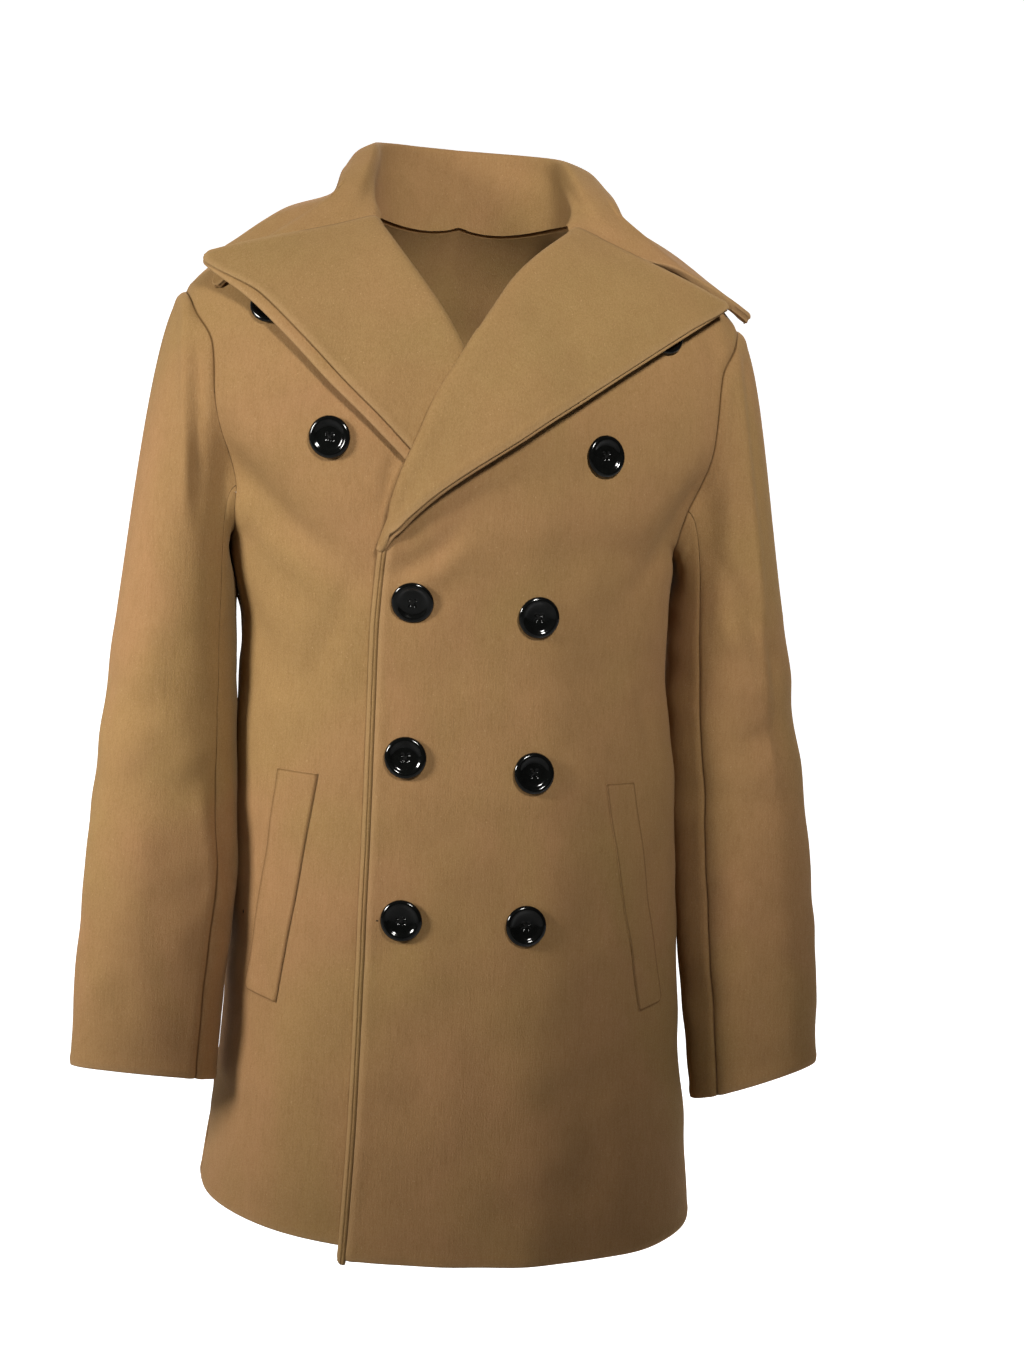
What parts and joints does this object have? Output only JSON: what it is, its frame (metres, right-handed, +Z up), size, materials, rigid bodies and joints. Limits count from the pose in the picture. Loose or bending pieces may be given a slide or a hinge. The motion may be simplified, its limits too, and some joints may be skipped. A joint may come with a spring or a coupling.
{
  "type": "pea coat",
  "caption": "Hip-length wool coat, worn and hollow, with a broad open collar and lapels, lapping fronts with round buttons, slanted welt pockets and long sleeves.",
  "frame": {"origin": "between the shoulders, level with the base of the neck, where the wearer holds the coat up", "axes": "+Z up, -Y out of the front, +X towards the wearer's left"},
  "size_m": [0.616, 0.2926, 0.8833],
  "materials": {
    "melton": "smooth napped wool in camel",
    "button": "polished black"
  },
  "bodies": {
    "root": {"front_left": "melton", "front_right": "melton", "facing_left": "melton", "back": "melton", "lapel_left": "melton", "lapel_right": "melton", "lapel_facing_left": "melton", "lapel_facing_right": "melton", "collar": "melton", "sleeve_left_upper": "melton", "sleeve_left_under": "melton", "sleeve_right_upper": "melton", "sleeve_right_under": "melton", "pocket_welt_left": "melton", "pocket_welt_right": "melton", "button_r1_left": "button", "button_r1_right": "button", "button_r2_left": "button", "button_r2_right": "button", "button_r3_left": "button", "button_r3_right": "button", "button_r4_left": "button", "button_r4_right": "button", "button_r5_left": "button", "button_r5_right": "button"}
  },
  "joints": []
}
